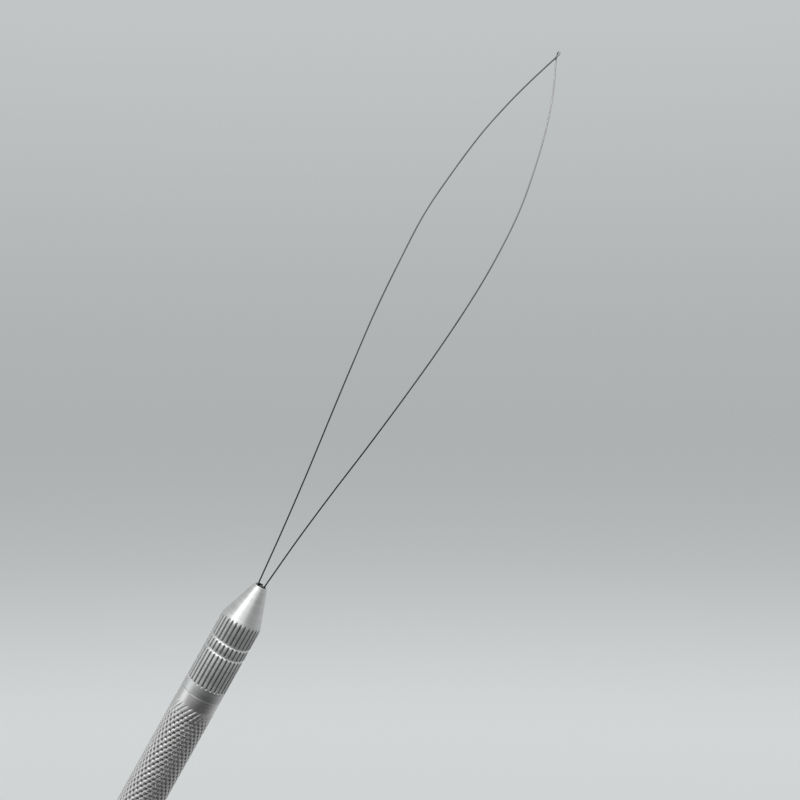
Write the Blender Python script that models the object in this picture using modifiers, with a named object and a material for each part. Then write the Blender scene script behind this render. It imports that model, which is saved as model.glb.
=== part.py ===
"""Hair extension loop needle: a loop of spring wire held in the collet of a knurled pin vise handle.

The tool stands on its tail face, with its axis on +Z and the loop at the top. The origin is the centre of the
tail face, and the loop lies in the plane of X and Z. All sizes are in metres.
"""
import math

import bmesh
import bpy
from mathutils import Matrix, Vector

# Driving sizes of the whole tool
HANDLE_DIAMETER = 0.0080
HANDLE_LENGTH = 0.0950
LOOP_LENGTH = 0.1100
LEFT_HALF_WIDTH = 0.00845
RIGHT_HALF_WIDTH = 0.0095
WIRE_DIAMETER = 0.00028

# Clearances
SEAM_GAP = 0.00010
SLIDING_CLEARANCE = 0.00013
THREAD_CLEARANCE = 0.00015
OVERRUN = 0.0005

# Nose cap, outside
NOSE_FACE_DIAMETER = 0.00265
NOSE_EDGE = 0.00020
CONE_LENGTH = 0.0077
CONE_SHOULDER_RADIUS = 0.0020
FORE_FLUTE_LENGTH = 0.0042
RING_PITCH = 0.00236
RING_WIDTH = 0.00062
RING_DEPTH = 0.00030
AFT_FLUTE_LENGTH = 0.0070
CAP_RIM_LENGTH = 0.0019
SEAM_CHAMFER = 0.00012
FLUTE_COUNT = 28
FLUTE_DEPTH = 0.00022
FLUTE_RADIUS = 0.00033

# Nose cap, inside
NOSE_BORE_DIAMETER = 0.00210
NOSE_BORE_LENGTH = 0.0016
INNER_CONE_LENGTH = 0.0046
CHAMBER_DIAMETER = 0.0046
THREAD_LEAD_IN = 0.0010

# Screw thread between the cap and the spigot of the handle
THREAD_DIAMETER = 0.0060
THREAD_PITCH = 0.0010
THREAD_DEPTH = 0.0004
THREAD_CREST = 0.0002
THREAD_FLANK_ANGLE = math.radians(30)
THREAD_OVERRUN = 0.00010
THREAD_RELIEF = 0.00005
THREAD_PHASE_SHARE = 0.35
SPIGOT_LENGTH = 0.0065
SPIGOT_NECK_LENGTH = 0.0010
SPIGOT_CHAMFER = 0.0003

# Handle tube
SHOULDER_BAND_LENGTH = 0.0024
KNURL_DIAMETER = 0.0081
TAIL_BAND_LENGTH = 0.0020
TUBE_BORE_DIAMETER = 0.0050
BORE_STEP_LENGTH = 0.0012
SPIGOT_BORE_DEPTH = 0.0080

# Tail plug
PLUG_HEAD_LENGTH = 0.0030
PLUG_CHAMFER = 0.0006
PLUG_STEM_LENGTH = 0.0060
PLUG_CLEARANCE = 0.00005

# Collet
COLLET_PROUD = 0.00025
COLLET_TIP_EDGE = 0.00010
COLLET_BORE_DIAMETER = 0.0013
COLLET_SHANK_DIAMETER = 0.0029
COLLET_SHANK_LENGTH = 0.0055
SLOT_WIDTH = 0.00046
SLOT_LENGTH = 0.0130
COLLET_SHANK_CHAMFER = 0.0002

# Crimp sleeve and the wire ends in it
SLEEVE_DIAMETER = 0.0011
SLEEVE_LENGTH = 0.0050
SLEEVE_DEPTH = 0.0048
WIRE_END_INSET = 0.0004
WIRE_PAIR_GAP = 0.00006
WIRE_NOSE_OFFSET = 0.00075

# Eye at the tip of the loop
EYE_RADIUS = 0.00032
EYE_REACH = 0.00095
CROSSING_GAP = 0.00012

# Steps round each turned piece
CAP_STEPS = 2 * FLUTE_COUNT
HANDLE_STEPS = 2 * FLUTE_COUNT
THREAD_STEPS = FLUTE_COUNT
COLLET_STEPS = 32
SLEEVE_STEPS = 16
FLUTE_SIDES = 8
FLUTE_RINGS = 5
CORNER_STEPS = 3
STRAND_STEPS = 26
EYE_STEPS = 10

# Course of the two strands: share of the loop's length, share of the strand's own half width
LEFT_STRAND_SHARES = (
    (0.10, 0.220), (0.20, 0.375), (0.30, 0.555), (0.40, 0.730), (0.50, 0.885), (0.60, 0.970),
    (0.68, 0.995), (0.76, 0.885), (0.84, 0.710), (0.90, 0.495), (0.95, 0.265), (1.00, 0.0),
)
RIGHT_STRAND_SHARES = (
    (0.10, 0.215), (0.20, 0.385), (0.30, 0.575), (0.40, 0.745), (0.50, 0.890), (0.60, 0.985),
    (0.68, 1.000), (0.76, 0.935), (0.84, 0.745), (0.90, 0.540), (0.95, 0.305), (1.00, 0.0),
)
CROSSING_SPREAD_SHARE = 0.12

# Heights and radii that follow from the sizes above
handle_radius = HANDLE_DIAMETER / 2
knurl_radius = KNURL_DIAMETER / 2
wire_radius = WIRE_DIAMETER / 2
nose_face_z = HANDLE_LENGTH
cone_base_z = nose_face_z - CONE_LENGTH
first_ring_z = cone_base_z - FORE_FLUTE_LENGTH
second_ring_z = first_ring_z - RING_PITCH
flute_end_z = second_ring_z - AFT_FLUTE_LENGTH
cap_rim_z = flute_end_z - CAP_RIM_LENGTH
shoulder_z = cap_rim_z - SEAM_GAP
knurl_top_z = shoulder_z - SHOULDER_BAND_LENGTH
spigot_top_z = shoulder_z + SPIGOT_LENGTH
spigot_neck_z = shoulder_z + SPIGOT_NECK_LENGTH
tube_end_z = PLUG_HEAD_LENGTH + SEAM_GAP
knurl_end_z = tube_end_z + TAIL_BAND_LENGTH

thread_radius = THREAD_DIAMETER / 2
thread_core_radius = thread_radius - THREAD_DEPTH
cap_thread_radius = thread_core_radius + THREAD_CLEARANCE
cap_root_radius = thread_radius + THREAD_CLEARANCE
cap_lead_in_radius = cap_root_radius + THREAD_RELIEF
spigot_neck_radius = thread_core_radius - THREAD_RELIEF
thread_end_z = spigot_top_z + SLIDING_CLEARANCE

nose_bore_radius = NOSE_BORE_DIAMETER / 2
chamber_radius = CHAMBER_DIAMETER / 2
inner_cone_top_z = nose_face_z - NOSE_BORE_LENGTH
inner_cone_base_z = inner_cone_top_z - INNER_CONE_LENGTH

collet_head_z = spigot_top_z + SLIDING_CLEARANCE
collet_end_z = collet_head_z - COLLET_SHANK_LENGTH
collet_tip_z = nose_face_z + COLLET_PROUD
collet_bore_radius = COLLET_BORE_DIAMETER / 2
collet_shank_radius = COLLET_SHANK_DIAMETER / 2
spigot_bore_radius = collet_shank_radius + SLIDING_CLEARANCE
sleeve_top_z = nose_face_z - SLEEVE_DEPTH
sleeve_end_z = sleeve_top_z - SLEEVE_LENGTH
wire_pair_offset = wire_radius + WIRE_PAIR_GAP / 2
sleeve_bore_radius = wire_pair_offset + wire_radius + WIRE_PAIR_GAP
crossing_z = nose_face_z + LOOP_LENGTH
crossing_offset = wire_radius + CROSSING_GAP / 2


def clear_scene():
    """Removes every object, so that the script can be run again."""
    for old in list(bpy.data.objects):
        bpy.data.objects.remove(old, do_unlink=True)


def make_collection(name):
    """Adds a collection to the scene."""
    collection = bpy.data.collections.new(name)
    bpy.context.scene.collection.children.link(collection)
    return collection


def make_material(name, colour, roughness, metallic):
    """A plain surface of one colour."""
    material = bpy.data.materials.new(name)
    material.use_nodes = True
    shader = material.node_tree.nodes["Principled BSDF"]
    shader.inputs["Base Color"].default_value = (*colour, 1.0)
    shader.inputs["Roughness"].default_value = roughness
    shader.inputs["Metallic"].default_value = metallic
    material.diffuse_color = (*colour, 1.0)
    return material


def add_part(name, data, material):
    """Puts a finished mesh or curve in the tool's collection."""
    part = bpy.data.objects.new(name, data)
    data.materials.append(material)
    tool_parts.objects.link(part)
    return part


def add_cutter(name, mesh):
    """Puts a mesh that only cuts others in the cutters' collection."""
    cutter = bpy.data.objects.new(name, mesh)
    cutter.hide_render = True
    cutter.display_type = "WIRE"
    cutters.objects.link(cutter)
    return cutter


def cut(part, cutter):
    """Cuts one closed shape out of another."""
    difference = part.modifiers.new("cut by " + cutter.name, "BOOLEAN")
    difference.operation = "DIFFERENCE"
    difference.solver = "EXACT"
    difference.object = cutter


def outline_mesh(name, outline, closed):
    """An outline of radius and height, drawn on the +X side of the axis."""
    mesh = bpy.data.meshes.new(name)
    points = [(radius, 0, height) for radius, height in outline]
    edges = [(index, index + 1) for index in range(len(points) - 1)]
    if closed:
        edges.append((len(points) - 1, 0))
    mesh.from_pydata(points, edges, [])
    return mesh


def turn(part, steps, turns=1, rise=0):
    """Sweeps an outline round the axis of the tool, climbing by rise if it is a thread."""
    sweep = part.modifiers.new("turned", "SCREW")
    sweep.axis = "Z"
    sweep.angle = math.tau * turns
    sweep.screw_offset = rise
    sweep.steps = steps
    sweep.render_steps = steps
    sweep.use_merge_vertices = rise == 0
    sweep.merge_threshold = wire_radius / 1000
    sweep.use_smooth_shade = False


def turned_part(name, outline, steps, material):
    """A piece turned from bar: its outline runs down the outer side and up the bore, or ends on the axis."""
    on_axis = outline[0][0] == 0 and outline[-1][0] == 0
    part = add_part(name, outline_mesh(name, outline, not on_axis), material)
    turn(part, steps)
    return part


def rounded_corner(before, corner, after, radius):
    """Points of an arc that rounds a corner between two straight runs of an outline."""
    corner = Vector(corner)
    to_before = (Vector(before) - corner).normalized()
    to_after = (Vector(after) - corner).normalized()
    half_angle = to_before.angle(to_after) / 2
    reach = radius / math.tan(half_angle)
    centre = corner + (to_before + to_after).normalized() * radius / math.sin(half_angle)
    start = (corner + to_before * reach - centre).normalized()
    end = (corner + to_after * reach - centre).normalized()
    turned = [start.slerp(end, step / CORNER_STEPS) for step in range(CORNER_STEPS + 1)]
    return [tuple(centre + direction * radius) for direction in turned]


def thread_half_width(radius):
    """Half the width of the spigot's thread tooth at a radius."""
    return THREAD_CREST / 2 + (thread_radius - radius) * math.tan(THREAD_FLANK_ANGLE)


def helical_cutter(name, outline, start_z, length):
    """A closed bar of one cross-section, wound as a right-handed helix of the thread's pitch."""
    turns = math.ceil(length / THREAD_PITCH * THREAD_STEPS) / THREAD_STEPS
    shifted = [(radius, start_z + height) for radius, height in outline]
    sweep = bpy.data.objects.new(name, outline_mesh(name, shifted, True))
    cutters.objects.link(sweep)
    turn(sweep, round(THREAD_STEPS * turns), turns, THREAD_PITCH * turns)
    depsgraph = bpy.context.evaluated_depsgraph_get()
    wound = bpy.data.meshes.new_from_object(sweep.evaluated_get(depsgraph))
    bpy.data.objects.remove(sweep, do_unlink=True)
    shape = bmesh.new()
    shape.from_mesh(wound)
    bmesh.ops.holes_fill(shape, edges=shape.edges)
    bmesh.ops.recalc_face_normals(shape, faces=shape.faces)
    phase = math.tau / HANDLE_STEPS * THREAD_PHASE_SHARE
    bmesh.ops.rotate(shape, verts=shape.verts, cent=(0, 0, 0), matrix=Matrix.Rotation(phase, 3, "Z"))
    bmesh.ops.translate(shape, verts=shape.verts, vec=(0, 0, THREAD_PITCH * phase / math.tau))
    shape.to_mesh(wound)
    shape.free()
    return add_cutter(name, wound)


def smooth_value(table, share):
    """Reads a smooth curve through the points of a table of shares."""
    last = len(table) - 1
    index = max(i for i in range(last) if table[i][0] <= share or i == 0)
    slopes = []
    for i in (index, index + 1):
        low, high = table[max(i - 1, 0)], table[min(i + 1, last)]
        slopes.append((high[1] - low[1]) / (high[0] - low[0]))
    (start, value), (end, next_value) = table[index], table[index + 1]
    span = end - start
    t = (share - start) / span
    return (
        value * (2 * t ** 3 - 3 * t ** 2 + 1)
        + slopes[0] * span * (t ** 3 - 2 * t ** 2 + t)
        + next_value * (3 * t ** 2 - 2 * t ** 3)
        + slopes[1] * span * (t ** 3 - t ** 2)
    )


def strand_points(shares, half_width, side):
    """One strand of the loop, from its end in the sleeve up to the crossing, where the left one is in front."""
    table = ((0.0, WIRE_NOSE_OFFSET / half_width),) + shares
    points = [
        (side * wire_pair_offset, 0, sleeve_end_z + WIRE_END_INSET),
        (side * wire_pair_offset, 0, sleeve_top_z),
    ]
    for step in range(STRAND_STEPS + 1):
        share = step / STRAND_STEPS
        lift = max(0, 1 - (1 - share) / CROSSING_SPREAD_SHARE)
        outward = side * half_width * smooth_value(table, share)
        points.append((outward, side * crossing_offset * lift, nose_face_z + LOOP_LENGTH * share))
    return points


def eye_points():
    """The tiny eye beyond the crossing: an arc from the right side over the top to the left side."""
    tangent = math.asin(EYE_RADIUS / EYE_REACH)
    centre_z = crossing_z + EYE_REACH
    points = []
    for step in range(EYE_STEPS + 1):
        share = step / EYE_STEPS
        angle = -tangent + (math.pi + 2 * tangent) * share
        points.append((
            EYE_RADIUS * math.cos(angle),
            crossing_offset * (2 * share - 1),
            centre_z + EYE_RADIUS * math.sin(angle),
        ))
    return points


def make_nose_cap(material):
    """The screw-on nose: cone, flutes, two V grooves, plain rim, inner cone and internal thread."""
    face_radius = NOSE_FACE_DIAMETER / 2
    shoulder = rounded_corner(
        (face_radius, nose_face_z), (handle_radius, cone_base_z), (handle_radius, first_ring_z),
        CONE_SHOULDER_RADIUS)
    outline = [(face_radius - NOSE_EDGE, nose_face_z), (face_radius, nose_face_z - NOSE_EDGE)]
    outline += shoulder
    for ring_z in (first_ring_z, second_ring_z):
        outline.append((handle_radius, ring_z + RING_WIDTH / 2))
        outline.append((handle_radius - RING_DEPTH, ring_z))
        outline.append((handle_radius, ring_z - RING_WIDTH / 2))
    outline += [
        (handle_radius, cap_rim_z + SEAM_CHAMFER),
        (handle_radius - SEAM_CHAMFER, cap_rim_z),
        (cap_lead_in_radius, cap_rim_z),
        (cap_lead_in_radius, cap_rim_z + THREAD_LEAD_IN),
        (cap_thread_radius, cap_rim_z + THREAD_LEAD_IN + cap_lead_in_radius - cap_thread_radius),
        (cap_thread_radius, thread_end_z),
        (chamber_radius, thread_end_z + cap_thread_radius - chamber_radius),
        (chamber_radius, inner_cone_base_z),
        (nose_bore_radius, inner_cone_top_z),
        (nose_bore_radius, nose_face_z),
    ]
    cap = turned_part("nose_cap", outline, CAP_STEPS, material)
    cut(cap, make_cap_thread())
    cut(cap, make_flutes())
    return cap


def make_cap_thread():
    """The helical groove of the cap's internal thread, in step with the tooth of the spigot."""
    flank_room = THREAD_CLEARANCE / math.cos(THREAD_FLANK_ANGLE)
    inner_radius = cap_thread_radius - THREAD_OVERRUN
    mouth = thread_half_width(inner_radius) + flank_room
    root = thread_half_width(cap_root_radius) + flank_room
    outline = [(inner_radius, mouth), (cap_root_radius, root), (cap_root_radius, -root), (inner_radius, -mouth)]
    start_z = shoulder_z + THREAD_PITCH / 2
    return helical_cutter("cap_thread_groove", outline, start_z, thread_end_z - start_z)


def make_spigot_thread():
    """The helical groove that leaves the tooth of the spigot's external thread."""
    outer_radius = thread_radius + THREAD_OVERRUN
    mouth = THREAD_PITCH / 2 - thread_half_width(outer_radius)
    root = THREAD_PITCH / 2 - thread_half_width(thread_core_radius)
    outline = [
        (thread_core_radius, root), (outer_radius, mouth), (outer_radius, -mouth), (thread_core_radius, -root),
    ]
    start_z = shoulder_z + THREAD_PITCH
    return helical_cutter("spigot_thread_groove", outline, start_z, spigot_top_z + THREAD_PITCH - start_z)


def make_flutes():
    """The straight flutes: rods with round lower ends, set in a ring, that run out on the cone."""
    rod = bmesh.new()
    bmesh.ops.create_uvsphere(rod, u_segments=FLUTE_SIDES, v_segments=FLUTE_RINGS, radius=FLUTE_RADIUS)
    half_side = math.pi / FLUTE_SIDES
    bmesh.ops.rotate(rod, verts=rod.verts, cent=(0, 0, 0), matrix=Matrix.Rotation(half_side, 3, "Z"))
    rod_reach = FLUTE_RADIUS * math.sin(math.tau / FLUTE_RINGS) * math.cos(half_side)
    upper = [vertex for vertex in rod.verts if vertex.co.z > 0]
    bmesh.ops.translate(rod, verts=upper, vec=(0, 0, nose_face_z - flute_end_z))
    ring_radius = handle_radius - FLUTE_DEPTH + rod_reach
    bmesh.ops.translate(rod, verts=rod.verts, vec=(ring_radius, 0, flute_end_z + FLUTE_RADIUS))
    first_rod = rod.verts[:] + rod.edges[:] + rod.faces[:]
    for index in range(1, FLUTE_COUNT):
        copy = bmesh.ops.duplicate(rod, geom=first_rod)["geom"]
        copy_verts = [item for item in copy if isinstance(item, bmesh.types.BMVert)]
        turn_by = Matrix.Rotation(math.tau * index / FLUTE_COUNT, 3, "Z")
        bmesh.ops.rotate(rod, verts=copy_verts, cent=(0, 0, 0), matrix=turn_by)
    mesh = bpy.data.meshes.new("flutes")
    rod.to_mesh(mesh)
    rod.free()
    return add_cutter("flutes", mesh)


def make_handle_barrel(material):
    """The handle tube: threaded spigot, plain band, knurled grip at its crest diameter, and bore."""
    tube_bore_radius = TUBE_BORE_DIAMETER / 2
    knurl_rise = knurl_radius - handle_radius
    bore_top_z = spigot_top_z - SPIGOT_BORE_DEPTH
    outline = [
        (thread_radius - SPIGOT_CHAMFER, spigot_top_z),
        (thread_radius, spigot_top_z - SPIGOT_CHAMFER),
        (thread_radius, spigot_neck_z),
        (spigot_neck_radius, spigot_neck_z),
        (spigot_neck_radius, shoulder_z),
        (handle_radius - SEAM_CHAMFER, shoulder_z),
        (handle_radius, shoulder_z - SEAM_CHAMFER),
        (handle_radius, knurl_top_z),
        (knurl_radius, knurl_top_z - knurl_rise),
        (knurl_radius, knurl_end_z + knurl_rise),
        (handle_radius, knurl_end_z),
        (handle_radius, tube_end_z + SEAM_CHAMFER),
        (handle_radius - SEAM_CHAMFER, tube_end_z),
        (tube_bore_radius, tube_end_z),
        (tube_bore_radius, bore_top_z - BORE_STEP_LENGTH),
        (spigot_bore_radius, bore_top_z),
        (spigot_bore_radius, spigot_top_z),
    ]
    barrel = turned_part("handle_barrel", outline, HANDLE_STEPS, material)
    cut(barrel, make_spigot_thread())
    return barrel


def make_tail_plug(material):
    """The plug in the tail of the tube, with the flat face that the tool stands on."""
    stem_radius = TUBE_BORE_DIAMETER / 2 - PLUG_CLEARANCE
    stem_top_z = PLUG_HEAD_LENGTH + PLUG_STEM_LENGTH
    outline = [
        (0, stem_top_z),
        (stem_radius - SEAM_CHAMFER, stem_top_z),
        (stem_radius, stem_top_z - SEAM_CHAMFER),
        (stem_radius, PLUG_HEAD_LENGTH),
        (handle_radius - SEAM_CHAMFER, PLUG_HEAD_LENGTH),
        (handle_radius, PLUG_HEAD_LENGTH - SEAM_CHAMFER),
        (handle_radius, PLUG_CHAMFER),
        (handle_radius - PLUG_CHAMFER, 0),
        (0, 0),
    ]
    return turned_part("tail_plug", outline, HANDLE_STEPS, material)


def make_collet(material):
    """The split collet: it follows the inside of the cap at a clearance, and two slots make four jaws."""
    tip_radius = nose_bore_radius - SLIDING_CLEARANCE
    head_radius = chamber_radius - SLIDING_CLEARANCE
    outline = [
        (tip_radius - COLLET_TIP_EDGE, collet_tip_z),
        (tip_radius, collet_tip_z - COLLET_TIP_EDGE),
        (tip_radius, inner_cone_top_z),
        (head_radius, inner_cone_base_z),
        (head_radius, collet_head_z),
        (collet_shank_radius, collet_head_z),
        (collet_shank_radius, collet_end_z + COLLET_SHANK_CHAMFER),
        (collet_shank_radius - COLLET_SHANK_CHAMFER, collet_end_z),
        (collet_bore_radius, collet_end_z),
        (collet_bore_radius, collet_tip_z),
    ]
    collet = turned_part("collet", outline, COLLET_STEPS, material)
    slot_size = (CHAMBER_DIAMETER + OVERRUN, SLOT_WIDTH, SLOT_LENGTH + OVERRUN)
    slot_z = collet_tip_z + OVERRUN - slot_size[2] / 2
    for name, angle in (("slot_of_wires", 0), ("cross_slot", math.pi / 2)):
        slot = bmesh.new()
        bmesh.ops.create_cube(slot, size=1)
        bmesh.ops.scale(slot, verts=slot.verts, vec=slot_size)
        bmesh.ops.rotate(slot, verts=slot.verts, cent=(0, 0, 0), matrix=Matrix.Rotation(angle, 3, "Z"))
        bmesh.ops.translate(slot, verts=slot.verts, vec=(0, 0, slot_z))
        mesh = bpy.data.meshes.new(name)
        slot.to_mesh(mesh)
        slot.free()
        cut(collet, add_cutter(name, mesh))
    return collet


def make_crimp_sleeve(material):
    """The sleeve crimped round the two ends of the wire."""
    sleeve_radius = SLEEVE_DIAMETER / 2
    outline = [
        (sleeve_radius, sleeve_top_z),
        (sleeve_radius, sleeve_end_z),
        (sleeve_bore_radius, sleeve_end_z),
        (sleeve_bore_radius, sleeve_top_z),
    ]
    return turned_part("crimp_sleeve", outline, SLEEVE_STEPS, material)


def make_wire_loop(material):
    """The one wire: up the left strand, round the eye, and down the right strand."""
    points = strand_points(LEFT_STRAND_SHARES, LEFT_HALF_WIDTH, -1)
    points += eye_points()
    points += reversed(strand_points(RIGHT_STRAND_SHARES, RIGHT_HALF_WIDTH, 1))
    wire = bpy.data.curves.new("wire_loop", "CURVE")
    wire.dimensions = "3D"
    wire.bevel_depth = wire_radius
    wire.bevel_resolution = 2
    wire.use_fill_caps = True
    spline = wire.splines.new("POLY")
    spline.points.add(len(points) - 1)
    for point, place in zip(spline.points, points):
        point.co = (*place, 1)
    return add_part("wire_loop", wire, material)


clear_scene()
tool_parts = make_collection("hair_extension_loop_needle")
cutters = make_collection("cutters")
bright_aluminium = make_material("bright aluminium", (0.78, 0.78, 0.77), 0.32, 1.0)
grip_aluminium = make_material("knurled aluminium", (0.62, 0.62, 0.61), 0.42, 1.0)
dark_steel = make_material("dark collet steel", (0.20, 0.20, 0.21), 0.40, 1.0)
spring_steel = make_material("spring steel wire", (0.36, 0.36, 0.37), 0.28, 1.0)

handle_barrel = make_handle_barrel(grip_aluminium)
tail_plug = make_tail_plug(bright_aluminium)
nose_cap = make_nose_cap(bright_aluminium)
collet_piece = make_collet(dark_steel)
crimp_sleeve = make_crimp_sleeve(dark_steel)
wire_loop = make_wire_loop(spring_steel)

# The loop is drawn out of the collet, which moves out with the cap as the cap is unscrewed
tail_plug.parent = handle_barrel
nose_cap.parent = collet_piece
crimp_sleeve.parent = collet_piece
wire_loop.parent = crimp_sleeve
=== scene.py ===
"""Looks of the hair extension loop needle: a long loop of spring wire in the collet of a knurled handle.

The tool stands on its tail face with its axis on +Z. All sizes are in metres.
"""
import math

import bpy
import numpy as np
from mathutils import Matrix, Vector


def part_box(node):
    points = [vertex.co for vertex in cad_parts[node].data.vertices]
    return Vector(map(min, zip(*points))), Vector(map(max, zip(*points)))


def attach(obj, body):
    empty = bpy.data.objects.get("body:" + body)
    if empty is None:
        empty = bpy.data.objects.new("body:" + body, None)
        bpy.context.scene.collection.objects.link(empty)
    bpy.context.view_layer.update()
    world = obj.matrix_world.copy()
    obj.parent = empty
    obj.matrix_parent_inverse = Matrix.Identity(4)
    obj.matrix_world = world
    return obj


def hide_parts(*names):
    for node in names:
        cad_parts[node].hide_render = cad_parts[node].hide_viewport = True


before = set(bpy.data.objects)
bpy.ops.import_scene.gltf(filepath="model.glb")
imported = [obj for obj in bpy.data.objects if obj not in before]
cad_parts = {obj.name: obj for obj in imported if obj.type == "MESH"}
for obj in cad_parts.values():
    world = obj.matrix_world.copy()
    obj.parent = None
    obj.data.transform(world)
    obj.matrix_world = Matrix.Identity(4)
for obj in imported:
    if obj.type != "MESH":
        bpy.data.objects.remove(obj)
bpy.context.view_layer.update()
bpy.ops.object.select_all(action="DESELECT")

# Heights and radii that the solids give
cap_low, cap_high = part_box("nose_cap")
handle_low, handle_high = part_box("handle_barrel")
plug_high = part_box("tail_plug")[1]
collet_low, collet_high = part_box("collet")
sleeve_low, sleeve_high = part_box("crimp_sleeve")
NOSE_FACE_Z = cap_high[2]
CAP_RIM_Z = cap_low[2]
HANDLE_RADIUS = cap_high[0]
KNURL_RADIUS = handle_high[0]
TUBE_END_Z = handle_low[2]
SPIGOT_TOP_Z = handle_high[2]
PLUG_TOP_Z = plug_high[2]
COLLET_TIP_Z = collet_high[2]
COLLET_END_Z = collet_low[2]
SLEEVE_TOP_Z = sleeve_high[2]
SLEEVE_END_Z = sleeve_low[2]
SLEEVE_RADIUS = sleeve_high[0]

# Lengths along the tool, from the nose down
SEAM_GAP = 0.00010
CONE_LENGTH = 0.0077
FORE_FLUTE_LENGTH = 0.0042
RING_PITCH = 0.00236
AFT_FLUTE_LENGTH = 0.0070
SHOULDER_BAND_LENGTH = 0.0024
TAIL_BAND_LENGTH = 0.0020
PLUG_HEAD_LENGTH = 0.0030
NOSE_BORE_LENGTH = 0.0016
INNER_CONE_LENGTH = 0.0046
CONE_BASE_Z = NOSE_FACE_Z - CONE_LENGTH
FIRST_RING_Z = CONE_BASE_Z - FORE_FLUTE_LENGTH
SECOND_RING_Z = FIRST_RING_Z - RING_PITCH
FLUTE_END_Z = SECOND_RING_Z - AFT_FLUTE_LENGTH
SHOULDER_Z = CAP_RIM_Z - SEAM_GAP
KNURL_TOP_Z = SHOULDER_Z - SHOULDER_BAND_LENGTH
KNURL_END_Z = TUBE_END_Z + TAIL_BAND_LENGTH
INNER_CONE_TOP_Z = NOSE_FACE_Z - NOSE_BORE_LENGTH

# Corners of one piece this close together are welded, and those this close to a wall lie on it
WELD_DISTANCE = 1e-7
ON_WALL = 0.00001


# Modelling helpers
def start_ring(name, sides, radius, height):
    """Adds a ring of edges round the axis and opens it for editing."""
    bpy.ops.object.select_all(action="DESELECT")
    bpy.ops.mesh.primitive_circle_add(vertices=sides, radius=radius, location=(0, 0, 0))
    piece = bpy.context.object
    piece.name = name
    piece.data.name = name
    bpy.ops.object.mode_set(mode="EDIT")
    bpy.ops.mesh.select_all(action="SELECT")
    bpy.ops.transform.translate(value=(0, 0, height))
    return piece


def pull_rings(outline):
    """Extrudes the open rim through the rest of an outline of radius and height."""
    for (radius, height), (next_radius, next_height) in zip(outline, outline[1:]):
        rise = (0, 0, next_height - height)
        bpy.ops.mesh.extrude_region_move(TRANSFORM_OT_translate={"value": rise})
        share = next_radius / radius
        if share != 1:
            bpy.ops.transform.resize(value=(share, share, 1), center_override=(0, 0, next_height))


def weld_and_leave():
    """Welds the piece that is open for editing, turns its faces outward and leaves editing."""
    bpy.ops.mesh.select_all(action="SELECT")
    bpy.ops.mesh.remove_doubles(threshold=WELD_DISTANCE)
    bpy.ops.mesh.normals_make_consistent(inside=False)
    bpy.ops.object.mode_set(mode="OBJECT")


def turn_closed(name, outline, sides):
    """Turns a closed outline, which runs down the outer side and up the bore."""
    piece = start_ring(name, sides, *outline[0])
    pull_rings(outline)
    pull_rings([outline[-1], outline[0]])
    weld_and_leave()
    return piece


def rows_between(start, end, count):
    """Heights of count equal steps from start to end, without the start."""
    return [start + (end - start) * step / count for step in range(1, count + 1)]


def quarter_turn(radius, height, edge, steps, going_in):
    """A rounded edge: from an end face out to the wall below, or from the wall in to the end face below."""
    points = []
    for step in range(steps + 1):
        angle = math.pi / 2 * step / steps
        if going_in:
            points.append((radius - edge + edge * math.cos(angle), height + edge - edge * math.sin(angle)))
        else:
            points.append((radius - edge + edge * math.sin(angle), height - edge + edge * math.cos(angle)))
    return points


def places(piece):
    """The corners of a piece as an array."""
    found = np.zeros(len(piece.data.vertices) * 3)
    piece.data.vertices.foreach_get("co", found)
    return found.reshape(-1, 3)


def put_places(piece, moved):
    """Gives the corners of a piece their new places."""
    piece.data.vertices.foreach_set("co", moved.astype(np.float32).ravel())
    piece.data.update()


def round_places(piece):
    """The corners of a piece, how far each is from the axis, and its angle round it."""
    co = places(piece)
    return co, np.hypot(co[:, 0], co[:, 1]), np.arctan2(co[:, 1], co[:, 0])


def put_radii(piece, co, radius, new_radius):
    """Moves the corners of a piece in or out from one radius to another."""
    co[:, :2] *= (new_radius / radius)[:, None]
    put_places(piece, co)


def mark_corners(piece, name, shares):
    """Keeps a share from 0 to 1 on each corner: how far it is sunk, or how far it is on a rubbed ridge."""
    layer = piece.data.attributes.new(name, "FLOAT", "POINT")
    layer.data.foreach_set("value", shares.astype(np.float32))


def smooth_shading(piece, angle):
    """Shades a piece smooth, apart from edges sharper than an angle in degrees."""
    bpy.ops.object.select_all(action="DESELECT")
    piece.select_set(True)
    bpy.context.view_layer.objects.active = piece
    bpy.ops.object.shade_smooth_by_angle(angle=math.radians(angle))
    bpy.ops.object.select_all(action="DESELECT")


def finish_piece(piece, body, node, material, angle):
    """Gives a piece its surface, and sets it on its body in place of its node."""
    piece.data.materials.clear()
    piece.data.materials.append(material)
    smooth_shading(piece, angle)
    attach(piece, body)
    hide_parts(node)


# Helpers for node trees
def fresh_tree(owner):
    """The emptied node tree of a material or a world."""
    owner.use_nodes = True
    owner.node_tree.nodes.clear()
    return owner.node_tree


def feed(tree, value, socket):
    """Links an output to a socket, or sets the socket to a number or an opaque colour."""
    if isinstance(value, bpy.types.NodeSocket):
        tree.links.new(value, socket)
    elif socket.type == "RGBA":
        socket.default_value = (*value, 1)
    else:
        socket.default_value = value


def combined(tree, operation, *values):
    """Joins values by one step of arithmetic."""
    step = tree.nodes.new("ShaderNodeMath")
    step.operation = operation
    for value, socket in zip(values, step.inputs):
        feed(tree, value, socket)
    return step.outputs[0]


def vector_result(tree, operation, source, constant=None):
    """One step of vector arithmetic on a source, with a constant vector where the step takes two."""
    step = tree.nodes.new("ShaderNodeVectorMath")
    step.operation = operation
    feed(tree, source, step.inputs[0])
    if constant is not None:
        step.inputs[1].default_value = constant
    return step.outputs["Value" if operation in ("DOT_PRODUCT", "LENGTH") else "Vector"]


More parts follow.
